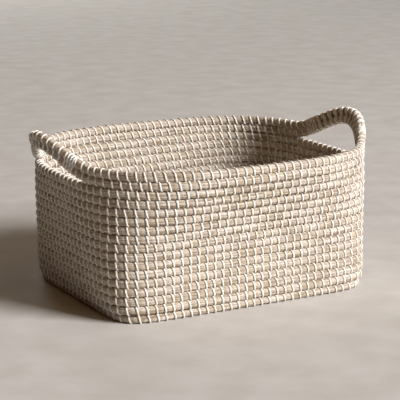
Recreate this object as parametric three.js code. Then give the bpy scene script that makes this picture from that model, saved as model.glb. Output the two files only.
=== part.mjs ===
// Coiled seagrass storage basket, in millimetres, +Z up, long sides along X.
// One bundle of seagrass is coiled into a rectangular base and a wall of level courses.
// The wall grows rounder towards the rim. At the short ends the top two courses
// leave the wall together, lean out and arch up as a handle. Cord lashings hold the
// handle feet. Each turn of the coil is a solid of its own.
import * as THREE from 'three';

// Coil
const COIL_PITCH = 11; // height of one course, middle to middle
const COURSE_GAP = 0.3; // clearance between neighbouring courses
const WALL_COURSES = 17; // courses in the wall, the two handle courses among them
const HANDLE_COURSES = 2; // courses that arch up together as the handles

// Outline of the wall at three levels: half length, half width and squareness of the
// course's middle line, where squareness 2 is an ellipse and 10 is nearly a rectangle
const FOOT = { halfLength: 180, halfWidth: 141, squareness: 10 };
const WAIST = { halfLength: 188, halfWidth: 137, squareness: 5.7 };
const RIM = { halfLength: 198, halfWidth: 176, squareness: 2.6 };
const FOOT_TUCK = 10; // how far the wall is drawn in where it meets the floor
const TUCK_HEIGHT = 13; // height over which most of that tuck fades away

// Handles
const HANDLE_HALF_SPAN = 96; // from the handle's middle to where it leaves the wall
const HANDLE_RISE = 31; // how far the courses rise at the middle of the handle
const HANDLE_LEAN = 19; // how far they have moved out there
const HANDLE_TILT = Math.PI / 10; // how far the upper course leans out over the lower one there
const HANDLE_FULLNESS = 1; // 1 is a plain wave, more gives a broader top
const LEFT_HANDLE_SHIFT = 14; // middle of the left handle, off the basket's long axis
const RIGHT_HANDLE_SHIFT = -26; // middle of the right handle, off that axis

// Lashings
const LASHING_THICKNESS = 2;
const LASHING_STEPS = 2; // length of a lashing, in steps of the handle courses
const LASHING_GAP = 0.4; // clearance between a lashing and the courses it goes round

// Fineness of the solids
const SECTION_SIDES = 6; // sides of a course's section, flat above and below
const COURSE_STEPS = 36; // steps round a plain course
const HANDLE_COURSE_STEPS = 80; // steps round a course that holds the handles
const HANDLE_CROWDING = 0.2; // how far those steps crowd towards the handles, 0.5 at most

// Worked out from the sizes above
const COURSE_HALF = (COIL_PITCH - COURSE_GAP) / 2;
const PLAIN_COURSES = WALL_COURSES - HANDLE_COURSES;
const WALL_HEIGHT = WALL_COURSES * COIL_PITCH;
const SECTION_FLAT = Math.sin(Math.PI / 3); // height of a hexagon's flat over its corner radius
const HANDLE_LEVEL = (PLAIN_COURSES + 0.5) * COIL_PITCH; // middle of the lower handle course

const seagrass = new THREE.MeshStandardMaterial({ color: 0xb59a72, roughness: 0.85, metalness: 0 });
const shadedSeagrass = new THREE.MeshStandardMaterial({ color: 0xa88b62, roughness: 0.85, metalness: 0 });
const cord = new THREE.MeshStandardMaterial({ color: 0xe9e2d4, roughness: 0.9, metalness: 0 });

// The value at a height, on a parabola through the foot, waist and rim values.
function betweenLevels(name, height) {
  const t = height / WALL_HEIGHT;
  const foot = FOOT[name] * (1 - t) * (1 - 2 * t);
  const waist = WAIST[name] * 4 * t * (1 - t);
  const rim = RIM[name] * t * (2 * t - 1);
  return foot + waist + rim;
}

// Outline of the wall at a height, with the foot's tuck taken off.
function wallOutline(height) {
  const tuck = FOOT_TUCK * Math.exp(-height / TUCK_HEIGHT);
  return {
    halfLength: betweenLevels('halfLength', height) - tuck,
    halfWidth: betweenLevels('halfWidth', height) - tuck,
    squareness: betweenLevels('squareness', height),
  };
}

// Point on an outline at a bearing, and the outward normal there. The outline is a
// superellipse: |x / halfLength| and |y / halfWidth|, raised to the squareness, add up to 1.
function outlineFrame(outline, bearing) {
  const { halfLength, halfWidth, squareness } = outline;
  const across = Math.cos(bearing);
  const along = Math.sin(bearing);
  const sum = Math.abs(across) ** squareness + Math.abs(along) ** squareness;
  const reach = sum ** (-1 / squareness);
  const steepness = squareness - 1;
  const point = new THREE.Vector3(halfLength * reach * across, halfWidth * reach * along, 0);
  const normal = new THREE.Vector3(
    (Math.sign(across) * Math.abs(reach * across) ** steepness) / halfLength,
    (Math.sign(along) * Math.abs(reach * along) ** steepness) / halfWidth,
    0,
  ).normalize();
  return { point, normal };
}

// A ring whose section is a hexagon, flat above and below. The place function puts each
// of its vertices, given the bearing round the ring and the offsets out and up.
function ringGeometry(steps, halfOut, halfUp, place) {
  const middle = 2;
  const geometry = new THREE.TorusGeometry(middle, 1, SECTION_SIDES, steps);
  const position = geometry.getAttribute('position');
  for (let i = 0; i < position.count; i += 1) {
    const [x, y, z] = [position.getX(i), position.getY(i), position.getZ(i)];
    const out = (Math.hypot(x, y) - middle) * halfOut;
    const up = (z / SECTION_FLAT) * halfUp;
    const placed = place(Math.atan2(y, x), out, up);
    position.setXYZ(i, placed.x, placed.y, placed.z);
  }
  geometry.computeVertexNormals();
  return geometry;
}

function named(name, geometry, material) {
  const mesh = new THREE.Mesh(geometry, material);
  mesh.name = name;
  return mesh;
}

function numbered(prefix, number) {
  return `${prefix}_${String(number).padStart(2, '0')}`;
}

// Wall course by number, counted from the floor.
function wallCourse(number) {
  const height = (number - 0.5) * COIL_PITCH;
  const outline = wallOutline(height);
  const place = (bearing, out, up) => {
    const { point, normal } = outlineFrame(outline, bearing);
    return point.addScaledVector(normal, out).setZ(up);
  };
  const geometry = ringGeometry(COURSE_STEPS, COURSE_HALF, COURSE_HALF, place);
  const mesh = named(numbered('wall_course', number), geometry, seagrass);
  mesh.position.z = height;
  return mesh;
}

// The base lies inside the lowest wall course. Its courses are spaced evenly from that
// course to the core in the middle, at very nearly the coil's own pitch.
const BASE_EDGE = wallOutline(COIL_PITCH / 2);
const BASE_TURNS = Math.round(BASE_EDGE.halfWidth / COIL_PITCH);
const BASE_SPACING = BASE_EDGE.halfWidth / BASE_TURNS;
const BASE_COURSE_HALF = (BASE_SPACING - COURSE_GAP) / 2;

// Base course by number, counted from the core. A section that reaches out moves
// through the smaller and larger outlines, so it fills the wider space at the corners.
function baseCourse(number) {
  const inset = (BASE_TURNS - number) * BASE_SPACING;
  const place = (bearing, out, up) => {
    const outline = {
      halfLength: BASE_EDGE.halfLength - inset + out,
      halfWidth: BASE_EDGE.halfWidth - inset + out,
      squareness: BASE_EDGE.squareness,
    };
    return outlineFrame(outline, bearing).point.setZ(up);
  };
  const geometry = ringGeometry(COURSE_STEPS, BASE_COURSE_HALF, COURSE_HALF, place);
  const mesh = named(numbered('base_course', number), geometry, shadedSeagrass);
  mesh.position.z = COIL_PITCH / 2;
  return mesh;
}

// The straight bundle that the coil starts from, its ends drawn in a little.
function baseCore() {
  const endTaper = COURSE_HALF;
  const endDraw = 2;
  const corner = BASE_COURSE_HALF;
  const section = new THREE.Shape();
  section.moveTo(-corner, 0);
  section.lineTo(-corner / 2, -COURSE_HALF);
  section.lineTo(corner / 2, -COURSE_HALF);
  section.lineTo(corner, 0);
  section.lineTo(corner / 2, COURSE_HALF);
  section.lineTo(-corner / 2, COURSE_HALF);
  section.closePath();
  const halfLength = BASE_EDGE.halfLength - BASE_EDGE.halfWidth;
  const geometry = new THREE.ExtrudeGeometry(section, {
    depth: 2 * (halfLength - endTaper),
    steps: 1,
    bevelEnabled: true,
    bevelThickness: endTaper,
    bevelSize: endDraw,
    bevelOffset: -endDraw,
    bevelSegments: 1,
  });
  geometry.translate(0, 0, endTaper - halfLength);
  geometry.rotateX(Math.PI / 2);
  geometry.rotateZ(Math.PI / 2);
  const mesh = named('base_core', geometry, shadedSeagrass);
  mesh.position.z = COIL_PITCH / 2;
  return mesh;
}

// How far up its arch a handle is at a place across the basket: 0 at its feet, 1 at its top.
function archAt(y, shift) {
  const fromMiddle = Math.min(Math.abs(y - shift) / HANDLE_HALF_SPAN, 1);
  const wave = (1 + Math.cos(Math.PI * fromMiddle)) / 2;
  return 1 - (1 - wave) ** HANDLE_FULLNESS;
}

const HANDLE_OUTLINE = wallOutline(HANDLE_LEVEL);

// Side and rise of the lower handle course at a bearing.
function handleRise(bearing) {
  const { point } = outlineFrame(HANDLE_OUTLINE, bearing);
  const side = Math.sign(point.x);
  const arch = archAt(point.y, side < 0 ? LEFT_HANDLE_SHIFT : RIGHT_HANDLE_SHIFT);
  return { point, side, arch };
}

// Middle line of the lower handle course at a bearing.
function handlePoint(bearing) {
  const { point, side, arch } = handleRise(bearing);
  point.x += side * HANDLE_LEAN * arch;
  point.z = HANDLE_LEVEL + HANDLE_RISE * arch;
  return point;
}

// Frame of the handle courses at a bearing: the middle of the lower one, the direction
// in which the upper one lies on it, and the direction out of the basket.
function handleFrame(bearing) {
  const nudge = 0.001;
  const point = handlePoint(bearing);
  const { side, arch } = handleRise(bearing);
  const along = handlePoint(bearing + nudge).sub(handlePoint(bearing - nudge)).normalize();
  const tilt = HANDLE_TILT * arch;
  const over = new THREE.Vector3(side * Math.sin(tilt), 0, Math.cos(tilt));
  over.addScaledVector(along, -over.dot(along)).normalize();
  const out = along.clone().cross(over);
  return { point, over, out };
}

// Place at a bearing, offset out of the basket and over the lower handle course.
function besideHandle(bearing, outBy, overBy) {
  const { point, over, out } = handleFrame(bearing);
  return point.addScaledVector(out, outBy).addScaledVector(over, overBy);
}

// Bearing for an angle round the ring, so that even angles crowd towards the handles.
function crowded(angle) {
  return angle - HANDLE_CROWDING * Math.sin(2 * angle);
}

// Handle course by name and by how many courses it lies over the lower one.
function handleCourse(name, coursesOver) {
  const place = (angle, out, up) => besideHandle(crowded(angle), out, up + coursesOver * COIL_PITCH);
  const geometry = ringGeometry(HANDLE_COURSE_STEPS, COURSE_HALF, COURSE_HALF, place);
  return named(name, geometry, seagrass);
}

// Outline round both handle courses, this far off them: half circles above and below.
function roundBothCourses(clearance) {
  const radius = COURSE_HALF / SECTION_FLAT + clearance;
  const top = (HANDLE_COURSES - 1) * COIL_PITCH;
  const outline = new THREE.Path();
  outline.absarc(0, 0, radius, Math.PI, 2 * Math.PI, false);
  outline.absarc(0, top, radius, 0, Math.PI, false);
  outline.closePath();
  return outline;
}

// Bearings of the steps that a lashing spans. They start at the first step up from the
// handle's foot that is clear of the wall by enough, and are listed from the largest down.
function lashingBearings(side, foot, clearance) {
  const towardsTop = side * foot > 0 ? -1 : 1;
  const top = side < 0 ? HANDLE_COURSE_STEPS / 2 : 0;
  const bearingOf = (step) => crowded((step * 2 * Math.PI) / HANDLE_COURSE_STEPS);
  let first = top - (towardsTop * HANDLE_COURSE_STEPS) / 4;
  while (handleRise(bearingOf(first)).arch * HANDLE_RISE < clearance) {
    first += towardsTop;
  }
  const bearings = [];
  for (let step = 0; step <= LASHING_STEPS; step += 1) {
    bearings.push(bearingOf(first + towardsTop * step));
  }
  return bearings.sort((a, b) => b - a);
}

// Lashing round both courses at one handle foot.
function lashing(name, side, foot) {
  const circleSteps = 5;
  const shape = new THREE.Shape(roundBothCourses(LASHING_GAP + LASHING_THICKNESS).getPoints(circleSteps));
  shape.holes.push(new THREE.Path(roundBothCourses(LASHING_GAP).getPoints(circleSteps)));
  const geometry = new THREE.ExtrudeGeometry(shape, {
    depth: LASHING_STEPS,
    steps: LASHING_STEPS,
    bevelEnabled: false,
  });
  const underside = LASHING_THICKNESS + 2 * LASHING_GAP + COURSE_HALF / SECTION_FLAT - COURSE_HALF;
  const bearings = lashingBearings(side, foot, underside);
  const position = geometry.getAttribute('position');
  for (let i = 0; i < position.count; i += 1) {
    const bearing = bearings[Math.round(position.getZ(i))];
    const placed = besideHandle(bearing, position.getX(i), position.getY(i));
    position.setXYZ(i, placed.x, placed.y, placed.z);
  }
  geometry.computeVertexNormals();
  return named(name, geometry, cord);
}

const basket = new THREE.Group();
basket.position.z = -COURSE_GAP / 2; // stands the lowest courses on the floor
basket.add(baseCore());
for (let number = 1; number < BASE_TURNS; number += 1) {
  basket.add(baseCourse(number));
}
for (let number = 1; number <= PLAIN_COURSES; number += 1) {
  basket.add(wallCourse(number));
}
basket.add(handleCourse('rim_course_lower', 0));
basket.add(handleCourse('rim_course_upper', 1));
basket.add(lashing('lashing_left_front', -1, -1));
basket.add(lashing('lashing_left_back', -1, 1));
basket.add(lashing('lashing_right_front', 1, -1));
basket.add(lashing('lashing_right_back', 1, 1));

export default basket;
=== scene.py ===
"""Looks of a coiled seagrass storage basket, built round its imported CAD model.

A bundle of dried seagrass is coiled into a base and a wall, and sewn with white cotton cord
that spirals round the bundle. The two top courses leave the wall at the short ends as handles,
where the cord goes round both of them. Every bundle and every cord is a surface of two
parameters on a grid: the way along the coil, and the angle round its section.
"""
import logging
import math
from dataclasses import dataclass, field, replace
from enum import Enum, IntEnum

import bpy
import numpy as np
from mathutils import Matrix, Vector


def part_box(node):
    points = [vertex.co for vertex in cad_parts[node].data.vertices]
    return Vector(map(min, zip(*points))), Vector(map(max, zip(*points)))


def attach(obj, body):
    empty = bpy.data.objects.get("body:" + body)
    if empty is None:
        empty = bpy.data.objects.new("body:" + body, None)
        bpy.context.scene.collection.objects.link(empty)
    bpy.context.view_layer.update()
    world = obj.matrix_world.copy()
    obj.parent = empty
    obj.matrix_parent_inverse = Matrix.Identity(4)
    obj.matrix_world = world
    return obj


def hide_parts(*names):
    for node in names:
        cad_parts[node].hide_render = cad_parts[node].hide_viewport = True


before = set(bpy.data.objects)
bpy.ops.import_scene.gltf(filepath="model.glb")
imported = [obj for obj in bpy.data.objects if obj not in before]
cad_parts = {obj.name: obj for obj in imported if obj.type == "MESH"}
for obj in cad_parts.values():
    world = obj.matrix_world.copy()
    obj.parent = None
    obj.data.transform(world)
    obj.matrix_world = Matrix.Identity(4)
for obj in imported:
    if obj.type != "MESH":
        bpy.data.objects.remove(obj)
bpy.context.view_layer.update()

LOG = logging.getLogger("basket")
Array = np.ndarray
Nodes = bpy.types.NodeTree
Socket = bpy.types.NodeSocket

BODY = "root"
MM = 0.001
TURN = 2 * math.pi
UP = np.array([0.0, 0.0, 1.0])
COIL_UV = "coil"  # the UV map of every bundle and cord: metres along, metres round

# A bundle fills its solid's width nearly and presses a little into the courses above and
# below, so that no light shows between them. On the floor it leaves room for the cord.
SIDE_CLEARANCE = 0.45 * MM
PRESS = 0.25 * MM
CORD_ROOM = 0.7 * MM


class Slot(Enum):
    """The record's material slots."""

    WALL = "wall_seagrass"
    BASE = "base_seagrass"
    CORD = "binding_cord"


class Side(Enum):
    """The short ends of the basket, at -X and at +X."""

    LEFT = "left"
    RIGHT = "right"


class Foot(Enum):
    """The two feet of a handle, towards -Y and towards +Y."""

    FRONT = "front"
    BACK = "back"


class Seed(IntEnum):
    """The number that each group's random draws start from, plus the piece's place in it."""

    WALL_BUNDLES = 0
    WALL_DRIFT = 5
    BASE_BUNDLES = 30
    RIM_BUNDLES = 60
    WALL_STITCHES = 100
    BASE_STITCHES = 200
    CORE_STITCHES = 299
    RIM_STITCHES = 300
    RIGHT_WRAPS = 401
    LEFT_WRAPS = 402
    LASHINGS = 411


# ---------------------------------------------------------------- finishes


def linear(code: str) -> tuple[float, float, float, float]:
    """Turns an sRGB hex colour into linear red, green, blue and an alpha of 1.

    Args:
        code: Six hex digits, with or without a leading #.

    Returns:
        The linear colour.
    """
    digits = code.lstrip("#")
    srgb = [int(digits[i : i + 2], 16) / 255 for i in (0, 2, 4)]
    parts = [c / 12.92 if c <= 0.04045 else ((c + 0.055) / 1.055) ** 2.4 for c in srgb]
    return (parts[0], parts[1], parts[2], 1.0)


def add_node(tree: Nodes, kind: str, settings: dict, links: dict) -> bpy.types.Node:
    """Adds a node with its settings and its incoming links.

    Args:
        tree: The node tree to add to.
        kind: The node's type, such as ShaderNodeTexNoise.
        settings: Values by name: a node's property, or else the input socket of that name
            or number. The name stops holds a colour ramp's hex colours by their place.
        links: Output sockets by the name or number of the input socket that each feeds.

    Returns:
        The new node.
    """
    node = tree.nodes.new(kind)
    for name, value in settings.items():
        if name == "stops":
            elements = node.color_ramp.elements
            while len(elements) < len(value):
                elements.new(0.5)
            for element, (place, code) in zip(elements, sorted(value.items())):
                element.position = place
                element.color = linear(code)
        elif isinstance(name, str) and hasattr(node, name):
            setattr(node, name, value)
        else:
            node.inputs[name].default_value = value
    for name, source in links.items():
        tree.links.new(source, node.inputs[name])
    return node


@dataclass(frozen=True)
class Finish:
    """A finish with its own node material.

    Attributes:
        name: The material's name.
    """

    name: str

    def material(self) -> bpy.types.Material:
        """Makes the material and lets the finish dress it.

        Returns:
            The finished material.
        """
        material = bpy.data.materials.new(self.name)
        material.use_nodes = True
        tree = material.node_tree
        tree.nodes.clear()
        shader = tree.nodes.new("ShaderNodeBsdfPrincipled")
        add_node(tree, "ShaderNodeOutputMaterial", {}, {"Surface": shader.outputs["BSDF"]})
        self.dress(tree, shader)
        return material

    def dress(self, tree: Nodes, shader: bpy.types.Node) -> None:
        """Adds the finish's colours and relief to its shader."""
        raise NotImplementedError

    @staticmethod
    def blotches(tree: Nodes, place: Socket, size_mm: tuple[float, float], detail: float) -> Socket:
        """Adds noise whose blotches have a real size.

        Args:
            tree: The node tree to add to.
            place: The socket of places in metres, along and round a coil.
            size_mm: Length and width of a blotch, in millimetres.
            detail: Octaves of finer noise.

        Returns:
            The noise value's socket.
        """
        scale = (1 / (size_mm[0] * MM), 1 / (size_mm[1] * MM), 1.0)
        mapping = add_node(tree, "ShaderNodeMapping", {"Scale": scale}, {"Vector": place})
        settings = {"Scale": 1.0, "Detail": detail, "Roughness": 0.55}
        noise = add_node(tree, "ShaderNodeTexNoise", settings, {"Vector": mapping.outputs["Vector"]})
        return noise.outputs["Fac"]

    @staticmethod
    def layered(tree: Nodes, colour: Socket, layers: list[tuple[Socket, float, str]]) -> Socket:
        """Lays colours over one another.

        Args:
            tree: The node tree to add to.
            colour: Socket of the lowest colour.
            layers: For each layer above it, its colour's socket, its share and how it blends.

        Returns:
            The new colour's socket.
        """
        for above, share, blend in layers:
            settings = {"data_type": "RGBA", "blend_type": blend, 0: share}
            colour = add_node(tree, "ShaderNodeMix", settings, {6: colour, 7: above}).outputs[2]
        return colour

    @staticmethod
    def relief(tree: Nodes, shader: bpy.types.Node, layers: list[tuple[Socket, float, float]]) -> None:
        """Adds layers of bump to a shader, coarse to fine.

        Args:
            tree: The node tree to add to.
            shader: The shader.
            layers: For each layer its height's socket, its strength and its height in millimetres.
        """
        below = {}
        for height, strength, depth_mm in layers:
            settings = {"Strength": strength, "Distance": depth_mm * MM}
            bump = add_node(tree, "ShaderNodeBump", settings, {"Height": height, **below})
            below = {"Normal": bump.outputs["Normal"]}
        tree.links.new(below["Normal"], shader.inputs["Normal"])


@dataclass(frozen=True)
class Seagrass(Finish):
    """Dried seagrass stems laid side by side in a bundle, matt with a faint waxy gleam.

    Stems about 2 mm wide run along the bundle. Each keeps one tone of straw, tan or brown for
    some centimetres, so the eye sees streaks. Fine fibres are ridges along the stems, whole
    bundles are paler or browner by patches, and short darker specks are nodes and split skins.
    Real fibres are under 0.3 mm wide and are drawn coarser than that, so that they show.

    Attributes:
        pale, straw, tan, brown, dark: Hex colours of the stems, light to dark.
        stem_mm, fibre_mm, patch_mm, speck_mm: Length and width of each mark, in millimetres.
    """

    pale: str
    straw: str
    tan: str
    brown: str
    dark: str
    stem_mm: tuple[float, float] = (55.0, 2.0)
    fibre_mm: tuple[float, float] = (14.0, 0.7)
    patch_mm: tuple[float, float] = (38.0, 9.0)
    speck_mm: tuple[float, float] = (3.2, 1.5)

    def dress(self, tree: Nodes, shader: bpy.types.Node) -> None:
        """Streaks, patches, fibres and specks, in colour and relief.

        Args:
            tree: The material's nodes.
            shader: Its shader.
        """
        place = add_node(tree, "ShaderNodeUVMap", {"uv_map": COIL_UV}, {}).outputs["UV"]
        stem = self.blotches(tree, place, self.stem_mm, 2.0)
        fibre = self.blotches(tree, place, self.fibre_mm, 3.0)
        patch = self.blotches(tree, place, self.patch_mm, 2.0)
        speck = self.blotches(tree, place, self.speck_mm, 1.0)
        tones = {0.28: self.dark, 0.40: self.brown, 0.50: self.tan, 0.60: self.straw, 0.74: self.pale}
        ramps = [
            (stem, tones),
            (patch, {0.30: self.brown, 0.48: self.tan, 0.66: self.pale}),
            (fibre, {0.30: "#a49a8e", 0.55: "#ffffff"}),
            (speck, {0.26: "#776a5b", 0.36: "#ffffff"}),
        ]
        stems, patches, grain, specks = (
            add_node(tree, "ShaderNodeValToRGB", {"stops": stops}, {"Fac": value}).outputs["Color"]
            for value, stops in ramps
        )
        layers = [(patches, 0.38, "MIX"), (grain, 0.8, "MULTIPLY"), (specks, 0.75, "MULTIPLY")]
        tree.links.new(self.layered(tree, stems, layers), shader.inputs["Base Color"])
        self.relief(tree, shader, [(stem, 0.8, 0.7), (fibre, 0.6, 0.3)])
        shader.inputs["Roughness"].default_value = 0.72
        shader.inputs["Specular IOR Level"].default_value = 0.25


@dataclass(frozen=True)
class CottonCord(Finish):
    """White cotton cord, two plies twisted together, matt and a little fuzzy.

    The plies show as slanted ridges, with painted shade greying the hollows between them, and
    handling leaves faint cream patches. The fuzz is drawn coarser than real lint, so that it shows.

    Attributes:
        light, shade: Hex colours of clean and handled cord.
        ply_mm: From ridge to ridge along the cord, in millimetres.
        girth_mm: Once round the cord, in millimetres.
        fuzz_mm, patch_mm: Length and width of each mark, in millimetres.
    """

    light: str
    shade: str
    ply_mm: float = 2.2
    girth_mm: float = 7.0
    fuzz_mm: tuple[float, float] = (1.6, 0.5)
    patch_mm: tuple[float, float] = (30.0, 12.0)

    def dress(self, tree: Nodes, shader: bpy.types.Node) -> None:
        """Twist with painted shade in its hollows, fuzz and soft patches, with the sheen of loose fibres.

        Args:
            tree: The material's nodes.
            shader: Its shader.
        """
        place = add_node(tree, "ShaderNodeUVMap", {"uv_map": COIL_UV}, {}).outputs["UV"]
        # one ridge of the twist for each ply length along the cord and each time round it
        scale = (1 / (self.ply_mm * MM), 1 / (self.girth_mm * MM), 1.0)
        mapping = add_node(tree, "ShaderNodeMapping", {"Scale": scale}, {"Vector": place})
        twist = {"wave_type": "BANDS", "bands_direction": "DIAGONAL", "Scale": 1 / math.pi, "Distortion": 0.6}
        wave = add_node(tree, "ShaderNodeTexWave", twist, {"Vector": mapping.outputs["Vector"]})
        ply = wave.outputs["Fac"]
        fuzz = self.blotches(tree, place, self.fuzz_mm, 3.0)
        patch = self.blotches(tree, place, self.patch_mm, 2.0)
        # the ply ramp is painted shade: it greys the cord where the twist's wave is low, in the hollows
        # between plies
        ramps = [(patch, {0.30: self.shade, 0.60: self.light}), (ply, {0.05: "#d4ccc0", 0.45: "#ffffff"})]
        patches, painted_groove_shade = (
            add_node(tree, "ShaderNodeValToRGB", {"stops": stops}, {"Fac": value}).outputs["Color"]
            for value, stops in ramps
        )
        colour = self.layered(tree, patches, [(painted_groove_shade, 0.6, "MULTIPLY")])
        tree.links.new(colour, shader.inputs["Base Color"])
        self.relief(tree, shader, [(ply, 0.5, 0.4), (fuzz, 0.3, 0.2)])
        shader.inputs["Roughness"].default_value = 0.85
        shader.inputs["Specular IOR Level"].default_value = 0.2
        shader.inputs["Sheen Weight"].default_value = 0.25
        shader.inputs["Sheen Roughness"].default_value = 0.6


@dataclass(frozen=True)
class PaintedFloor(Finish):
    """Pale matt floor, rolled paint, with a faint mottle that keeps it from looking like paper.

    Attributes:
        light, shade: Hex colours of the mottle.
        mottle_mm: Size of a blotch, in millimetres.
    """

    light: str
    shade: str
    mottle_mm: float = 60.0

    def dress(self, tree: Nodes, shader: bpy.types.Node) -> None:
        """Mottle in the colour only.

        Args:
            tree: The material's nodes.
            shader: Its shader.
        """
        place = add_node(tree, "ShaderNodeTexCoord", {}, {}).outputs["Object"]
        mottle = self.blotches(tree, place, (self.mottle_mm, self.mottle_mm), 4.0)
        stops = {0.35: self.shade, 0.65: self.light}
        colour = add_node(tree, "ShaderNodeValToRGB", {"stops": stops}, {"Fac": mottle}).outputs["Color"]
        tree.links.new(colour, shader.inputs["Base Color"])
        shader.inputs["Roughness"].default_value = 0.9


# ---------------------------------------------------------------- meshes


def outward(corners: Array, quads: Array) -> Array:
    """Turns the faces of a closed surface so that they point outwards.

    The sum of each face's corner products gives six times the volume, which is negative
    when the faces point in.

    Args:
        corners: Vertex places, one row each.
        quads: Vertex numbers, four for each face.

    Returns:
        The faces, turned over if they pointed in.
    """
    a, b, c, d = (corners[quads[:, k]] for k in range(4))
    volume = (a * np.cross(b, c)).sum() + (a * np.cross(c, d)).sum()
    return quads if volume > 0 else quads[:, ::-1]


@dataclass
class Grid:
    """A closed surface on a grid: along by around, closed around, and along as well or capped.

    Attributes:
        places: Vertex places, along by around by three.
        along: Metres along the piece for each row, and once more for the first where it closes.
        around: Metres round the section for each column, and once more for the first.
        closed: Whether the last row joins the first.
    """

    places: Array
    along: Array
    around: Array
    closed: bool

    def quads(self) -> tuple[Array, Array]:
        """Lists the faces of the grid.

        Returns:
            Vertex numbers, and UV places, four of each for each face.
        """
        rows, columns = self.places.shape[:2]
        count = rows if self.closed else rows - 1
        i, j = (x.ravel() for x in np.meshgrid(np.arange(count), np.arange(columns), indexing="ij"))
        steps = [(0, 0), (0, 1), (1, 1), (1, 0)]
        faces = np.stack([(i + a) % rows * columns + (j + b) % columns for a, b in steps], axis=1)
        uvs = [np.stack([self.along[i + a], self.around[j + b]], axis=-1) for a, b in steps]
        return faces, np.stack(uvs, axis=1)


def joined(grids: list[Grid]) -> tuple[Array, Array, Array]:
    """Joins grids into one set of vertices, faces and UVs.

    An open grid is closed by shrinking its first and last rows to their middles, which the
    grid's maker does, so that every face stays a quad.

    Args:
        grids: The grids.

    Returns:
        Vertex places, faces, and a UV for each face corner.
    """
    corners, faces, uvs, start = [], [], [], 0
    for grid in grids:
        quads, uv = grid.quads()
        places = grid.places.reshape(-1, 3)
        turned = outward(places, quads)
        uvs.append(uv if turned is quads else uv[:, ::-1])
        faces.append(turned + start)
        corners.append(places)
        start += len(places)
    return np.concatenate(corners), np.concatenate(faces), np.concatenate(uvs)


def make_piece(name: str, grids: list[Grid], material: bpy.types.Material) -> bpy.types.Object:
    """Makes a smooth mesh object of grids.

    Args:
        name: The object's name.
        grids: The closed surfaces it is made of.
        material: Its material.

    Returns:
        The object, at the origin, with its place in its mesh.
    """
    corners, faces, uvs = joined(grids)
    mesh = bpy.data.meshes.new(name)
    mesh.vertices.add(len(corners))
    mesh.vertices.foreach_set("co", corners.astype(np.float32).ravel())
    mesh.loops.add(faces.size)
    mesh.loops.foreach_set("vertex_index", faces.astype(np.int32).ravel())
    mesh.polygons.add(len(faces))
    mesh.polygons.foreach_set("loop_start", np.arange(0, faces.size, 4, dtype=np.int32))
    layer = mesh.uv_layers.new(name=COIL_UV)
    layer.data.foreach_set("uv", uvs.astype(np.float32).ravel())
    mesh.update(calc_edges=True)
    mesh.validate()
    mesh.shade_smooth()
    mesh.materials.append(material)
    piece = bpy.data.objects.new(name, mesh)
    bpy.context.scene.collection.objects.link(piece)
    return piece


def finished(piece: bpy.types.Object, nodes: list[str]) -> None:
    """Fixes a piece to the basket, hides the CAD nodes that it stands for, and reports it.

    Args:
        piece: The piece.
        nodes: The CAD nodes that it replaces, none for cord that CAD leaves out.
    """
    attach(piece, BODY)
    if nodes:
        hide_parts(*nodes)
    LOG.info("%s: %d faces", piece.name, len(piece.data.polygons))


# ---------------------------------------------------------------- routes


@dataclass
class Places:
    """Points on a route with the directions of the section there.

    Attributes:
        point: Middle of the section.
        out: What one metre out of the basket adds.
        over: What one metre over the section adds.
    """

    point: Array
    out: Array
    over: Array

    def offset(self, out: Array, over: Array) -> Array:
        """Gives the points at some way out of and over the middle.

        Args:
            out: Metres out, of the places' shape.
            over: Metres over, of the places' shape.

        Returns:
            The points.
        """
        return self.point + self.out * out[..., None] + self.over * over[..., None]


@dataclass
class Route:
    """A closed middle line of a course, run from the middle of the front, anticlockwise from above.

    Attributes:
        places: Dense places on the line.
        reach: Metres along the line at each of them, the closing one included.
    """

    places: Places
    reach: Array

    @classmethod
    def through(cls, places: Places) -> "Route":
        """Measures the line through dense places.

        Args:
            places: The places, in order, the last one beside the first.

        Returns:
            The route.
        """
        steps = np.linalg.norm(np.roll(places.point, -1, axis=0) - places.point, axis=1)
        return cls(places, np.concatenate([[0.0], np.cumsum(steps)]))

    @property
    def length(self) -> float:
        """Length of the closed line, in metres."""
        return float(self.reach[-1])

    def at(self, distance: Array) -> Places:
        """Gives the places at some distances along the line.

        Args:
            distance: Metres along, of any shape, taken round the closed line.

        Returns:
            The places, of that shape.
        """
        wrapped = np.mod(distance, self.length)

        def along(values: Array) -> Array:
            """Reads three values for each distance, straight between the line's own places."""
            closed = np.concatenate([values, values[:1]])
            return np.stack([np.interp(wrapped, self.reach, closed[:, k]) for k in range(3)], axis=-1)

        return Places(along(self.places.point), along(self.places.out), along(self.places.over))

    def nearest(self, point: Vector) -> float:
        """Finds the place on the line that is nearest to a point.

        Args:
            point: The point.

        Returns:
            Metres along.
        """
        away = np.linalg.norm(self.places.point - np.array(point), axis=1)
        return float(self.reach[int(away.argmin())])


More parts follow.
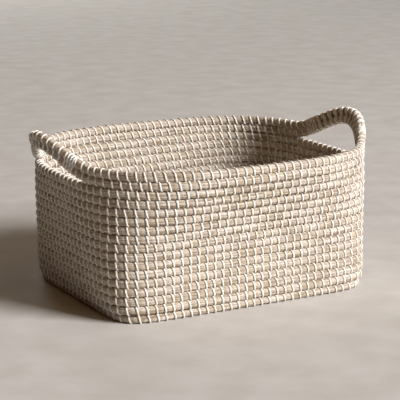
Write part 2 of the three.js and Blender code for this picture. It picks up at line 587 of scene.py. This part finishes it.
@dataclass
class Outline:
    """A superellipse: |x / half_length| and |y / half_width|, raised to squareness, add up to 1."""

    half_length: float
    half_width: float
    squareness: float

    def reach(self, bearing: Array) -> Array:
        """Gives how far the outline of half sizes 1 is from the middle.

        It is the sum of the cosine and the sine, each raised to the squareness, raised to
        minus one over the squareness.

        Args:
            bearing: Angles from +X.

        Returns:
            The reach in each direction.
        """
        c, s = np.cos(bearing), np.sin(bearing)
        return (np.abs(c) ** self.squareness + np.abs(s) ** self.squareness) ** (-1 / self.squareness)

    def points(self, bearing: Array, grown: float = 0.0) -> Array:
        """Gives points of the outline.

        Args:
            bearing: Angles from +X.
            grown: Metres added to both half sizes.

        Returns:
            The points, at height 0.
        """
        reach = self.reach(bearing)
        x = (self.half_length + grown) * reach * np.cos(bearing)
        y = (self.half_width + grown) * reach * np.sin(bearing)
        return np.stack([x, y, np.zeros_like(x)], axis=-1)

    def normals(self, bearing: Array) -> Array:
        """Gives the outward normals: the slope of the superellipse's sum, made one long.

        Args:
            bearing: Angles from +X.

        Returns:
            The normals.
        """
        c, s, reach = np.cos(bearing), np.sin(bearing), self.reach(bearing)
        power = self.squareness - 1
        x = np.sign(c) * np.abs(reach * c) ** power / self.half_length
        y = np.sign(s) * np.abs(reach * s) ** power / self.half_width
        normal = np.stack([x, y, np.zeros_like(x)], axis=-1)
        return normal / np.linalg.norm(normal, axis=-1, keepdims=True)


ROUTE_STEPS = 4000
BEARINGS = -math.pi / 2 + TURN * np.arange(ROUTE_STEPS) / ROUTE_STEPS
UPWARDS = np.tile(UP, (ROUTE_STEPS, 1))


def level_route(outline: Outline, height: float) -> Route:
    """Makes the route of a wall course, which lies level.

    Args:
        outline: The course's outline.
        height: Height of its middle.

    Returns:
        The route.
    """
    point = outline.points(BEARINGS) + UP * height
    return Route.through(Places(point, outline.normals(BEARINGS), UPWARDS))


def nested_route(outline: Outline, height: float) -> Route:
    """Makes the route of a base course, whose way out leads to the next larger outline.

    Args:
        outline: The course's outline.
        height: Height of its middle.

    Returns:
        The route.
    """
    nudge = MM
    point = outline.points(BEARINGS)
    out = (outline.points(BEARINGS, nudge) - point) / nudge
    return Route.through(Places(point + UP * height, out, UPWARDS))


# ---------------------------------------------------------------- sections, bundles and cord


@dataclass(frozen=True)
class Section:
    """Section of a bundle: a superellipse, with the angle counted from the top outwards.

    Attributes:
        half_out: Half its width, out of the basket.
        half_over: Half its height.
        fullness: 2 is an ellipse, more is squarer.
        waist: How far its sides are drawn in at the middle, as where cord lies in a crease.
        waist_height: Half the height of that dip.
    """

    half_out: float
    half_over: float
    fullness: float = 2.4
    waist: float = 0.0
    waist_height: float = 3 * MM

    def offsets(self, angle: Array, proud: float | Array = 0.0) -> tuple[Array, Array]:
        """Gives the section's outline.

        Sine and cosine are raised to two over the fullness, keep their signs, and are
        stretched to the half sizes. The waist is a bell curve taken off the sides.

        Args:
            angle: Angles from the top, outwards.
            proud: Metres that the outline is moved away from the section.

        Returns:
            Metres out and metres over.
        """
        power = 2 / self.fullness
        s, c = np.sin(angle), np.cos(angle)
        over = np.sign(c) * np.abs(c) ** power * (self.half_over + proud)
        dip = self.waist * np.exp(-((over / self.waist_height) ** 2))
        out = np.sign(s) * np.abs(s) ** power * (self.half_out + proud - dip)
        return out, over


@dataclass
class Stitching:
    """A cord's spiral round a bundle, one stitch for each turn.

    Attributes:
        start: Metres along the route where it starts.
        stop: Metres along where it stops.
        turns: Number of stitches.
        outer_lean: Metres that a stitch moves on from the top to the bottom of its outer side.
        width: Width of the cord.
        thickness: Thickness of the cord as it lies, a little flattened.
        proud: Metres from the bundle's skin to the cord's middle.
        shifts: How far each stitch is off its even place, in metres.
    """

    start: float
    stop: float
    turns: int
    outer_lean: float
    width: float
    thickness: float
    proud: float
    shifts: Array

    @property
    def spacing(self) -> float:
        """Metres along the route from stitch to stitch."""
        return (self.stop - self.start) / self.turns

    @property
    def hold(self) -> float:
        """How far the spiral's middle is held back, for the outer side to have its lean."""
        return self.spacing / 2 - self.outer_lean

    def shift_at(self, turn: Array) -> Array:
        """Gives the shift at some turns, run smoothly from stitch to stitch.

        Args:
            turn: Turns counted from the start, with fractions.

        Returns:
            Metres along.
        """
        closed = np.append(self.shifts, self.shifts[0])
        return np.interp(np.mod(turn, self.turns), np.arange(self.turns + 1), closed)

    def line(self, turn: Array) -> tuple[Array, Array]:
        """Gives the cord's line.

        One turn moves on by the spacing. Half of one minus the cosine of the angle, times
        the hold, is taken off, so that the outer side is steeper than the inner side.

        Args:
            turn: Turns counted from the start, with fractions.

        Returns:
            Metres along the route, and the angle round the section.
        """
        angle = TURN * turn
        along = self.start + self.spacing * turn - self.hold * (1 - np.cos(angle)) / 2
        return along + self.shift_at(turn), angle

    def nearness(self, along: Array, angle: Array) -> Array:
        """Says how near a place on the bundle is to the cord.

        Args:
            along: Metres along the route.
            angle: Angle round the section, from 0 to a full turn.

        Returns:
            1 under the cord, falling to 0 halfway to the next stitch.
        """
        turn = (along - self.start + self.hold * (1 - np.cos(angle)) / 2) / self.spacing
        turn = turn - self.shift_at(turn) / self.spacing
        return 0.5 + 0.5 * np.cos(TURN * (turn - angle / TURN))

    def scaled(self, scale: float) -> "Stitching":
        """Gives the same stitching on a route that is longer by a factor."""
        return replace(self, start=self.start * scale, stop=self.stop * scale)


@dataclass
class Bundle:
    """A bundle of seagrass along a route.

    Attributes:
        route: Its middle line.
        section: Its section.
        bindings: The cords that pinch it, each over its own stretch.
        seed: Number that its unevenness is drawn from.
        pinch: How far cord presses the skin in.
        unevenness: How far the skin wanders in and out, as a share.
        step: Metres from row to row of its faces.
        columns: Faces round the section.
    """

    route: Route
    section: Section
    bindings: list[Stitching]
    seed: int
    pinch: float = 0.55 * MM
    unevenness: float = 0.035
    step: float = 1.9 * MM
    columns: int = 22

    def wander(self, along: Array, angle: Array) -> Array:
        """Gives a smooth unevenness that closes on itself along and around.

        It is a sum of waves with whole numbers of periods along and around, each with a
        random phase, and finer waves are weaker.

        Args:
            along: Metres along the route.
            angle: Angle round the section.

        Returns:
            Values mostly between -1 and 1.
        """
        draw = np.random.default_rng(self.seed)
        total = np.zeros(np.broadcast(along, angle).shape)
        for periods in (3, 7, 16, 37, 71, 110):
            around = draw.integers(-2, 3)
            phase = draw.uniform(0, TURN)
            weight = 1 / math.sqrt(periods)
            wave = periods * TURN * along / self.route.length + around * angle + phase
            total = total + weight * np.sin(wave)
        return total

    def grid(self) -> Grid:
        """Carries the section along the whole closed route.

        Returns:
            The bundle's surface.
        """
        rows = int(round(self.route.length / self.step))
        along = np.arange(rows + 1) * self.route.length / rows
        angle = TURN * np.arange(self.columns + 1) / self.columns
        s, a = np.meshgrid(along[:-1], angle[:-1], indexing="ij")
        pressed = np.zeros_like(s)
        for binding in self.bindings:
            inside = (s >= binding.start) & (s <= binding.stop)
            pressed = np.where(inside, binding.nearness(s, a), pressed)
        out, over = self.section.offsets(a)
        share = 1 + self.unevenness * self.wander(s, a) - self.pinch * pressed / self.section.half_out
        places = self.route.at(s).offset(out * share, over * share)
        girth = TURN * (self.section.half_out + self.section.half_over) / 2
        offset = 1.37 * self.seed  # metres, so that no two bundles show the same stems
        return Grid(places, along + offset, angle / TURN * girth, True)


@dataclass
class Cord:
    """A cord wound round a section along a route.

    Attributes:
        route: The bundle's middle line.
        section: The bundle's section.
        stitching: The cord's spiral.
        closed: Whether its end meets its start.
        strands: Cords that lie side by side.
        steps: Rows of faces for each stitch.
        sides: Faces round the cord.
    """

    route: Route
    section: Section
    stitching: Stitching
    closed: bool = False
    strands: int = 1
    steps: int = 12
    sides: int = 6

    def strand(self, sideways: float) -> Grid:
        """Carries an oval section along the cord's line.

        The line's direction, the way off the bundle and their cross product are the oval's
        frame. The oval is wide along the bundle and thin off it.

        Args:
            sideways: Metres along the bundle that this strand is off the cord's line.

        Returns:
            The strand's surface.
        """
        count = self.stitching.turns * self.steps
        turn = np.arange(count + (0 if self.closed else 1)) / self.steps
        middle = self.line_at(turn, sideways, 0.0)
        raised = self.line_at(turn, sideways, MM)
        nudge = 0.25 / self.steps
        along = self.line_at(turn + nudge, sideways, 0.0) - self.line_at(turn - nudge, sideways, 0.0)
        along /= np.linalg.norm(along, axis=-1, keepdims=True)
        off = raised - middle
        off -= along * (off * along).sum(axis=-1, keepdims=True)
        off /= np.linalg.norm(off, axis=-1, keepdims=True)
        side = np.cross(along, off)
        angle = TURN * (np.arange(self.sides + 1) + 0.5) / self.sides
        half_width = self.stitching.width / self.strands / 2 * np.ones(len(turn))
        half_thickness = self.stitching.thickness / 2 * np.ones(len(turn))
        if not self.closed:
            # the two ends shrink to a point, tucked into the bundle
            half_width[[0, -1]] = 0.0
            half_thickness[[0, -1]] = 0.0
        wide = np.cos(angle[:-1])[None, :, None] * half_width[:, None, None] * side[:, None, :]
        thick = np.sin(angle[:-1])[None, :, None] * half_thickness[:, None, None] * off[:, None, :]
        places = middle[:, None, :] + wide + thick
        girth = math.pi * (self.stitching.width / self.strands + self.stitching.thickness) / 2
        stitch = TURN * (self.section.half_out + self.section.half_over) / 2
        reach = np.arange(count + 1) / self.steps * stitch
        return Grid(places, reach, angle / TURN * girth, self.closed)

    def line_at(self, turn: Array, sideways: float, lift: float) -> Array:
        """Gives points of the cord's line.

        Args:
            turn: Turns counted from the start, with fractions.
            sideways: Metres along the bundle off that line.
            lift: Metres further off the bundle.

        Returns:
            The points.
        """
        distance, angle = self.stitching.line(turn)
        out, over = self.section.offsets(angle, self.stitching.proud + lift)
        return self.route.at(distance + sideways).offset(out, over)

    def grids(self) -> list[Grid]:
        """Gives all strands, side by side.

        Returns:
            One surface for each strand.
        """
        pitch = self.stitching.width / self.strands
        offsets = [(k - (self.strands - 1) / 2) * pitch for k in range(self.strands)]
        return [self.strand(offset) for offset in offsets]


# ---------------------------------------------------------------- the basket


@dataclass
class Sewing:
    """How the cord is sewn over the wall and base.

    Attributes:
        spacing: Metres from stitch to stitch.
        outer_lean: Metres that a stitch leans over the height of a course, outside.
        cord_width: Width of the cord.
        cord_thickness: Thickness of the cord where it lies on the bundle.
        proud: Metres from the bundle's skin to the cord's middle.
        scatter: How far a stitch strays from its even place.
    """

    spacing: float = 11.4 * MM
    outer_lean: float = 4.6 * MM
    cord_width: float = 2.6 * MM
    cord_thickness: float = 1.7 * MM
    proud: float = 0.15 * MM
    scatter: float = 0.8 * MM

    def over(self, start: float, stop: float, turns: int, seed: int) -> Stitching:
        """Lays out the stitches of a stretch.

        Args:
            start: Metres along where they start.
            stop: Metres along where they stop.
            turns: Number of stitches.
            seed: Number that the scatter is drawn from.

        Returns:
            The stitching.
        """
        shifts = np.random.default_rng(seed).normal(0.0, self.scatter / 2, turns)
        width, thickness = self.cord_width, self.cord_thickness
        return Stitching(start, stop, turns, self.outer_lean, width, thickness, self.proud, shifts)


def box_middle(node: str) -> tuple[Vector, Vector]:
    """Gives the middle and the half sizes of a CAD node's box.

    Args:
        node: The node's name.

    Returns:
        The middle and the half sizes.
    """
    low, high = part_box(node)
    return (low + high) / 2, (high - low) / 2


def numbered(prefix: str) -> list[str]:
    """Lists the CAD nodes of a prefix, in their order.

    Args:
        prefix: Start of the names.

    Returns:
        The names, sorted.
    """
    return sorted(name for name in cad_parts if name.startswith(prefix))


@dataclass
class CoilWork:
    """A part of the coil, with what it is made of.

    Attributes:
        seagrass: Material of the bundles.
        cord: Material of the cord.
        sewing: How it is sewn.
    """

    seagrass: bpy.types.Material
    cord: bpy.types.Material
    sewing: Sewing

    def bundle_piece(self, node: str, slot: Slot, grid: Grid) -> None:
        """Makes the bundle that stands for a CAD node.

        Args:
            node: The node.
            slot: The material slot of its seagrass; not used.
            grid: Its surface.
        """
        finished(make_piece(f"{node}_bundle", [grid], self.seagrass), [node])

    def cord_piece(self, name: str, grids: list[Grid], nodes: list[str]) -> None:
        """Makes a piece of cord.

        Args:
            name: The piece's name.
            grids: Its surfaces.
            nodes: The CAD nodes that it stands for, if any.
        """
        finished(make_piece(name, grids, self.cord), nodes)

    def course(
        self, node: str, slot: Slot, route: Route, section: Section, stitching: Stitching, seed: int
    ) -> None:
        """Makes a closed course and the stitches all the way round it.

        Args:
            node: The CAD node that the bundle stands for.
            slot: The material slot of its seagrass.
            route: Its middle line.
            section: Its section.
            stitching: Its stitches.
            seed: Number that its unevenness is drawn from.
        """
        self.bundle_piece(node, slot, Bundle(route, section, [stitching], seed).grid())
        self.cord_piece(f"{node}_stitches", Cord(route, section, stitching, closed=True).grids(), [])


@dataclass
class Wall(CoilWork):
    """The plain wall courses, each a bundle with its stitches.

    Attributes:
        squareness: Squareness of the outline at the foot, halfway up and at the rim.
        rim_height: Height of the rim, where the last of those holds.
        column_drift: How far the columns of stitches drift from course to course.
        nodes: The CAD nodes of the courses, from the floor up.
    """

    squareness: tuple[float, float, float] = (10.0, 5.7, 2.6)
    rim_height: float = 187 * MM
    column_drift: float = 0.7 * MM
    nodes: list[str] = field(default_factory=lambda: numbered("wall_course_"))

    @property
    def pitch(self) -> float:
        """Height of one course, middle to middle."""
        return box_middle(self.nodes[1])[0].z - box_middle(self.nodes[0])[0].z

    @property
    def half(self) -> float:
        """Half the height of a course's solid."""
        return box_middle(self.nodes[0])[1].z

    def squareness_at(self, height: float) -> float:
        """Gives the squareness on a parabola through the three levels.

        Args:
            height: Height above the floor.

        Returns:
            The squareness.
        """
        t = height / self.rim_height
        foot, waist, rim = self.squareness
        return foot * (1 - t) * (1 - 2 * t) + waist * 4 * t * (1 - t) + rim * t * (2 * t - 1)

    def outline(self, node: str) -> Outline:
        """Gives the outline of a course's middle line.

        Args:
            node: The course's CAD node.

        Returns:
            The outline.
        """
        middle, half = box_middle(node)
        return Outline(half.x - self.half, half.y - self.half, self.squareness_at(middle.z))

    def top_outline(self, height: float) -> Outline:
        """Gives the outline one course above the last plain one.

        Half sizes run on as a parabola through the last three courses: three times the
        last, less three times the one before, plus the one before that.

        Args:
            height: Height of the course.

        Returns:
            The outline.
        """
        a, b, c = (self.outline(node) for node in self.nodes[-3:])
        half_length = 3 * c.half_length - 3 * b.half_length + a.half_length
        half_width = 3 * c.half_width - 3 * b.half_width + a.half_width
        return Outline(half_length, half_width, self.squareness_at(height))

    def build(self) -> None:
        """Builds every course and its stitches."""
        routes = [level_route(self.outline(node), box_middle(node)[0].z) for node in self.nodes]
        turns = round(sum(route.length for route in routes) / len(routes) / self.sewing.spacing)
        drift = np.random.default_rng(Seed.WALL_DRIFT).normal(0.0, self.column_drift, len(routes))
        for number, (node, route) in enumerate(zip(self.nodes, routes), start=1):
            half_over = self.half + (PRESS if number > 1 else -CORD_ROOM)
            section = Section(self.half - SIDE_CLEARANCE, half_over)
            start = float(drift[:number].sum())
            stop = start + route.length
            stitching = self.sewing.over(start, stop, turns, Seed.WALL_STITCHES + number)
            self.course(node, Slot.WALL, route, section, stitching, Seed.WALL_BUNDLES + number)


@dataclass
class Base(CoilWork):
    """The flat base: a straight core with nested courses round it.

    Attributes:
        wall: The wall, whose lowest outline the base repeats at smaller sizes.
        nodes: The CAD nodes of the courses, from the core out.
        press: How far a bundle presses into the ones beside it.
        fullness: Fullness of the bundles, which are a little flattened.
        core_rows: Rows of faces along the core.
        core_columns: Faces round it.
        core_inset: How far its stitches stay off its ends.
    """

    wall: Wall
    nodes: list[str] = field(default_factory=lambda: numbered("base_course_"))
    press: float = 0.2 * MM
    fullness: float = 2.6
    core_rows: int = 60
    core_columns: int = 22
    core_inset: float = 8 * MM

    def build(self) -> None:
        """Builds every base course, the core and their stitches."""
        half_out = box_middle("base_core")[1].y
        squareness = self.wall.outline(self.wall.nodes[0]).squareness
        for number, node in enumerate(self.nodes, start=1):
            middle, half = box_middle(node)
            route = nested_route(Outline(half.x - half_out, half.y - half_out, squareness), middle.z)
            section = Section(half_out + self.press, half.z - CORD_ROOM, self.fullness)
            turns = round(route.length / self.sewing.spacing)
            stitching = self.sewing.over(0.0, route.length, turns, Seed.BASE_STITCHES + number)
            self.course(node, Slot.BASE, route, section, stitching, Seed.BASE_BUNDLES + number)
        self.build_core(half_out)

    def build_core(self, half_out: float) -> None:
        """Builds the straight core as a closed tube with round ends, and its stitches.

        Rows stand at even angles of a half turn, so they crowd to the ends. There the
        section shrinks to a point as a quarter circle does, within half a width of the end.

        Args:
            half_out: Half its width.
        """
        middle, half = box_middle("base_core")
        section = Section(half_out, half.z - CORD_ROOM)
        way = -np.cos(math.pi * np.arange(self.core_rows + 1) / self.core_rows)
        room = np.maximum(half.x - half.x * np.abs(way), 0) / half_out
        share = np.sqrt(np.clip(1 - (1 - np.minimum(room, 1)) ** 2, 0, 1))[:, None]
        angle = TURN * np.arange(self.core_columns + 1) / self.core_columns
        out, over = section.offsets(angle[:-1])
        x = np.repeat(middle.x + half.x * way[:, None], self.core_columns, axis=1)
        places = np.stack([x, -out * share, middle.z + over * share], axis=-1)
        self.bundle_piece("base_core", Slot.BASE, Grid(places, half.x * way, angle * half_out, False))
        x = np.linspace(-half.x, half.x, 50)
        point = np.stack([x, np.zeros_like(x), np.full_like(x, middle.z)], axis=-1)
        out = np.tile([0.0, -1.0, 0.0], (len(x), 1))
        route = Route.through(Places(point, out, np.tile(UP, (len(x), 1))))
        start, stop = self.core_inset, 2 * half.x - self.core_inset
        turns = round((stop - start) / self.sewing.spacing)
        stitching = self.sewing.over(start, stop, turns, Seed.CORE_STITCHES)
        self.cord_piece("base_core_stitches", Cord(route, section, stitching).grids(), [])


@dataclass
class HandleShape:
    """Shape of one handle, whose courses rise and lean out on a wave.

    Attributes:
        shift: Where its middle is across the basket.
        spacing: Metres from wrap to wrap.
        cord_width: Width of a wrap.
        strands: Cords that lie side by side in a wrap.
        half_span: From its middle to where it leaves the wall.
        rise: How far the courses rise at its middle.
        lean: How far they have moved out there.
        tilt: How far the upper course leans out over the lower one there, in radians.
    """

    shift: float
    spacing: float
    cord_width: float
    strands: int
    half_span: float = 96 * MM
    rise: float = 31 * MM
    lean: float = 19 * MM
    tilt: float = math.pi / 10

    def arch(self, y: Array) -> Array:
        """Says how far up its arch the handle is: 0 at its feet, 1 at its top.

        It is half a cosine wave over the half span, from 1 at the middle to 0 at the foot.

        Args:
            y: Places across the basket.

        Returns:
            The share of the rise.
        """
        away = np.minimum(np.abs(y - self.shift) / self.half_span, 1)
        return (1 + np.cos(math.pi * away)) / 2


@dataclass
class Rim(CoilWork):
    """The two top courses: a rim along the long sides, and handles at the short ends.

    Attributes:
        wall: The wall below.
        left: The left handle.
        right: The right handle.
        wrap_thickness: Thickness of the cord in the wraps and lashings.
        wrap_proud: Metres from the two courses' skin to the middle of a wrap's cord.
        wrap_lean: How far a wrap leans outside, as a share of the spacing.
        wrap_scatter: How far a wrap strays from its even place.
        lashing_length: Length of a lashing along the handle.
        lashing_spacing: Metres from turn to turn of a lashing.
        lashing_fill: Width of its cord over that spacing.
        lashing_proud: Metres from the skin to the middle of its cord.
        lashing_scatter: How far a turn of it strays.
    """

    wall: Wall
    left: HandleShape
    right: HandleShape
    wrap_thickness: float = 1.9 * MM
    wrap_proud: float = 0.2 * MM
    wrap_lean: float = 0.3
    wrap_scatter: float = 0.5 * MM
    lashing_length: float = 18 * MM
    lashing_spacing: float = 4.5 * MM
    lashing_fill: float = 0.84
    lashing_proud: float = 0.3 * MM
    lashing_scatter: float = 0.1 * MM

    def middle_line(self, bearing: Array) -> tuple[Array, Array]:
        """Gives the middle line of the lower course.

        The wall's top outline is moved out by the lean and up by the rise, each times the arch.

        Args:
            bearing: Angles from +X.

        Returns:
            The points, and how far up its arch each is, negative on the left.
        """
        level = box_middle(self.wall.nodes[-1])[0].z + self.wall.pitch
        point = self.wall.top_outline(level).points(bearing)
        on_left = point[..., 0] < 0
        arch = np.where(on_left, self.left.arch(point[..., 1]), self.right.arch(point[..., 1]))
        lean = np.where(on_left, -self.left.lean, self.right.lean)
        rise = np.where(on_left, self.left.rise, self.right.rise)
        point[..., 0] += lean * arch
        point[..., 2] = level + rise * arch
        return point, np.where(on_left, -arch, arch)

    def route(self, courses_over: float) -> Route:
        """Makes the route some way over the lower course.

        The way over the coil is straight up, tilted out by the tilt times the arch, and square
        to the line. The way out is the cross product of the line's direction and that.

        Args:
            courses_over: Courses over the lower one, where a half is between the two.

        Returns:
            The route.
        """
        nudge = 0.001  # radians of bearing, for the line's direction
        point, arch = self.middle_line(BEARINGS)
        along = self.middle_line(BEARINGS + nudge)[0] - self.middle_line(BEARINGS - nudge)[0]
        along /= np.linalg.norm(along, axis=1, keepdims=True)
        tilt = self.left.tilt * arch
        over = np.stack([np.sin(tilt), np.zeros_like(tilt), np.cos(tilt)], axis=-1)
        over -= along * (over * along).sum(axis=1, keepdims=True)
        over /= np.linalg.norm(over, axis=1, keepdims=True)
        out = np.cross(along, over)
        point = point + over * (courses_over * self.wall.pitch)
        return Route.through(Places(point, out, over))

    def lashing_stretch(self, route: Route, side: Side, foot: Foot) -> tuple[float, float]:
        """Finds the stretch of a route that a lashing covers.

        Args:
            route: The route between the two courses.
            side: The end that the handle is on.
            foot: The handle's foot.

        Returns:
            Metres along at its ends.
        """
        middle = route.nearest(box_middle(f"lashing_{side.value}_{foot.value}")[0])
        return middle - self.lashing_length / 2, middle + self.lashing_length / 2

    def both_courses(self) -> Section:
        """Gives the section round both courses, drawn in at the crease between them."""
        half, slack = self.wall.half, 0.1 * MM
        half_over = half + self.wall.pitch / 2 - slack
        return Section(half + slack, half_over, fullness=3.0, waist=2.0 * MM, waist_height=2.6 * MM)

    def build(self) -> None:
        """Builds the two courses, their stitches, the handle wraps and the lashings."""
        lower, between, upper = (self.route(k) for k in (0.0, 0.5, 1.0))
        section = Section(self.wall.half - SIDE_CLEARANCE, self.wall.half + PRESS)
        both = self.both_courses()
        # the feet in the order in which the route comes to them
        right_feet = [(Side.RIGHT, Foot.FRONT), (Side.RIGHT, Foot.BACK)]
        left_feet = [(Side.LEFT, Foot.BACK), (Side.LEFT, Foot.FRONT)]
        feet = right_feet + left_feet
        ends = [self.lashing_stretch(between, *foot) for foot in feet]
        wraps = {
            Side.RIGHT: self.wrapping(self.right, ends[0][1], ends[1][0], Seed.RIGHT_WRAPS),
            Side.LEFT: self.wrapping(self.left, ends[2][1], ends[3][0], Seed.LEFT_WRAPS),
        }
        courses = {"rim_course_lower": lower, "rim_course_upper": upper}
        for order, (node, route) in enumerate(courses.items()):
            scale = route.length / between.length
            seed = Seed.RIM_STITCHES + 10 * order
            stitches = self.long_side_stitches(ends, between.length, scale, seed)
            pinches = stitches + [wrap.scaled(scale) for wrap in wraps.values()]
            bundle = Bundle(route, section, pinches, Seed.RIM_BUNDLES + order)
            self.bundle_piece(node, Slot.WALL, bundle.grid())
            grids = [grid for stitching in stitches for grid in Cord(route, section, stitching).grids()]
            self.cord_piece(f"{node}_stitches", grids, [])
        for side, handle in {Side.RIGHT: self.right, Side.LEFT: self.left}.items():
            cord = Cord(between, both, wraps[side], strands=handle.strands, steps=24)
            self.cord_piece(f"handle_wraps_{side.value}", cord.grids(), [])
        for number, ((side, foot), (start, stop)) in enumerate(zip(feet, ends)):
            cord = Cord(between, both, self.lashing(start, stop, Seed.LASHINGS + number), steps=24)
            node = f"lashing_{side.value}_{foot.value}"
            self.cord_piece(f"{node}_turns", cord.grids(), [node])

    def wrapping(self, handle: HandleShape, start: float, stop: float, seed: int) -> Stitching:
        """Lays out the wraps round both courses of a handle.

        Args:
            handle: The handle.
            start: Metres along where they start.
            stop: Metres along where they stop.
            seed: Number that the scatter is drawn from.

        Returns:
            The stitching.
        """
        turns = round((stop - start) / handle.spacing)
        shifts = np.random.default_rng(seed).normal(0.0, self.wrap_scatter, turns)
        lean, width = self.wrap_lean * handle.spacing, handle.cord_width
        return Stitching(start, stop, turns, lean, width, self.wrap_thickness, self.wrap_proud, shifts)

    def lashing(self, start: float, stop: float, seed: int) -> Stitching:
        """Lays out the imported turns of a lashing.

        Args:
            start: Metres along where they start.
            stop: Metres along where they stop.
            seed: Number that the scatter is drawn from.

        Returns:
            The stitching.
        """
        turns = round((stop - start) / self.lashing_spacing)
        shifts = np.random.default_rng(seed).normal(0.0, self.lashing_scatter, turns)
        width = self.lashing_fill * self.lashing_spacing
        lean, thickness = width / 2, self.wrap_thickness
        return Stitching(start, stop, turns, lean, width, thickness, self.lashing_proud, shifts)

    def long_side_stitches(
        self, ends: list[tuple[float, float]], whole: float, scale: float, seed: int
    ) -> list[Stitching]:
        """Lays out the stitches of one course along both long sides.

        Args:
            ends: Metres along at both ends of each lashing in turn, between the two courses.
            whole: Length of the line between the two courses.
            scale: Length of this course's line over that one's.
            seed: Number that the scatter is drawn from.

        Returns:
            The front half on the right, the back, and the front half on the left.
        """
        stretches = [(0.0, ends[0][0]), (ends[1][1], ends[2][0]), (ends[3][1], whole)]
        found = []
        for number, (start, stop) in enumerate(stretches):
            turns = round((stop - start) * scale / self.sewing.spacing)
            found.append(self.sewing.over(start * scale, stop * scale, turns, seed + number))
        return found


# ---------------------------------------------------------------- studio


@dataclass(frozen=True)
class SoftLight:
    """A square area light that looks at the basket.

    Attributes:
        name: The light's name.
        azimuth: Degrees that it stands round from the front, towards +X.
        elevation: Degrees that it stands above the horizon.
        distance: Metres from the basket.
        power: Watts.
        size: Side of the square.
        tint: Hex colour.
    """

    name: str
    azimuth: float
    elevation: float
    distance: float
    power: float
    size: float
    tint: str


@dataclass
class Studio:
    """Floor, lights and camera.

    Attributes:
        azimuth: Degrees that the camera stands round from the front, towards +X.
        elevation: Degrees that it stands above the horizon.
        distance: From the camera to the point that it looks at.
        lens: Focal length, in millimetres on a 36 mm wide sensor.
        shift: Lens shift across and up, as shares of the frame's width.
        target: The point that it looks at.
        floor_size: Side of the square floor.
        lights: The window, the sky, and a weak light that opens up the back.
        surroundings: Hex colour of the light from all round, as warm walls would throw back.
        surroundings_strength: Strength of that light.
    """

    azimuth: float = -29.3
    elevation: float = 12.74
    distance: float = 2.0105
    lens: float = 138.45
    shift: tuple[float, float] = (0.002, -0.0149)
    target: tuple[float, float, float] = (0.0, 0.0, 0.1174)
    floor_size: float = 24.0
    lights: tuple[SoftLight, ...] = (
        SoftLight("window", 36.0, 27.0, 9.0, 1530.0, 3.9, "#f9f9fd"),
        SoftLight("sky", -10.0, 80.0, 3.0, 11.5, 2.6, "#f3cc96"),
        SoftLight("back_fill", 165.0, 16.0, 6.0, 70.0, 1.6, "#f4f4f2"),
    )
    surroundings: str = "#c07e42"
    surroundings_strength: float = 0.055

    def direction(self, azimuth: float, elevation: float) -> Vector:
        """Gives the direction from the basket at an azimuth and an elevation.

        Args:
            azimuth: Degrees round from the front, towards +X.
            elevation: Degrees above the horizon.

        Returns:
            A vector one long.
        """
        a, e = math.radians(azimuth), math.radians(elevation)
        return Vector((math.sin(a) * math.cos(e), -math.cos(a) * math.cos(e), math.sin(e)))

    def aimed(self, thing: bpy.types.Object, azimuth: float, elevation: float, distance: float) -> None:
        """Places a light or camera in a direction from the target, turned to look at it.

        Args:
            thing: The light or camera.
            azimuth: Degrees round from the front, towards +X.
            elevation: Degrees above the horizon.
            distance: Metres from the target.
        """
        away = self.direction(azimuth, elevation)
        thing.location = Vector(self.target) + away * distance
        thing.rotation_euler = away.to_track_quat("Z", "Y").to_euler()
        bpy.context.scene.collection.objects.link(thing)

    def build_floor(self) -> None:
        """Builds the square floor that the basket stands on."""
        mesh = bpy.data.meshes.new("floor")
        edge = self.floor_size / 2
        corners = [(-edge, -edge, 0), (edge, -edge, 0), (edge, edge, 0), (-edge, edge, 0)]
        mesh.from_pydata(corners, [], [(0, 1, 2, 3)])
        mesh.materials.append(PaintedFloor("painted_floor", "#c9c5be", "#bfbab2").material())
        floor = bpy.data.objects.new("floor", mesh)
        bpy.context.scene.collection.objects.link(floor)

    def build_lights(self) -> None:
        """Builds the soft lights and the light from all round."""
        world = bpy.data.worlds.new("studio")
        world.use_nodes = True
        inputs = world.node_tree.nodes["Background"].inputs
        inputs["Color"].default_value = linear(self.surroundings)
        inputs["Strength"].default_value = self.surroundings_strength
        bpy.context.scene.world = world
        for soft in self.lights:
            light = bpy.data.lights.new(soft.name, "AREA")
            light.energy = soft.power
            light.size = soft.size
            light.color = linear(soft.tint)[:3]
            holder = bpy.data.objects.new(soft.name, light)
            self.aimed(holder, soft.azimuth, soft.elevation, soft.distance)

    def build_camera(self) -> None:
        """Builds the camera, and shows colours as they are, so that white cord isn't greyed."""
        camera = bpy.data.cameras.new("camera")
        camera.lens = self.lens
        camera.sensor_width = 36.0
        camera.shift_x, camera.shift_y = self.shift
        holder = bpy.data.objects.new("camera", camera)
        self.aimed(holder, self.azimuth, self.elevation, self.distance)
        bpy.context.scene.camera = holder
        bpy.context.scene.view_settings.view_transform = "Standard"

    def build(self) -> None:
        """Builds the floor, the lights and the camera."""
        self.build_floor()
        self.build_lights()
        self.build_camera()


def main() -> None:
    """Builds the basket and its studio."""
    logging.basicConfig(level=logging.INFO, format="%(name)s %(message)s")
    Studio().build()
    wall_tones = ("#e8e0d5", "#d9cebe", "#c3b49e", "#968066", "#5d4a37")
    base_tones = ("#d6cbbb", "#c4b6a1", "#ab987f", "#836c52", "#544331")
    wall_grass = Seagrass("dried_seagrass", *wall_tones).material()
    base_grass = Seagrass("dried_seagrass_base", *base_tones).material()
    cord = CottonCord("white_cotton_cord", "#f4f0e8", "#e7e0d3").material()
    sewing = Sewing()
    wall = Wall(wall_grass, cord, sewing)
    wall.build()
    Base(base_grass, cord, sewing, wall).build()
    left = HandleShape(shift=14 * MM, spacing=10.5 * MM, cord_width=3.2 * MM, strands=1)
    right = HandleShape(shift=-26 * MM, spacing=11.0 * MM, cord_width=6.0 * MM, strands=2)
    Rim(wall_grass, cord, sewing, wall, left, right).build()


if __name__ == "__main__":
    main()
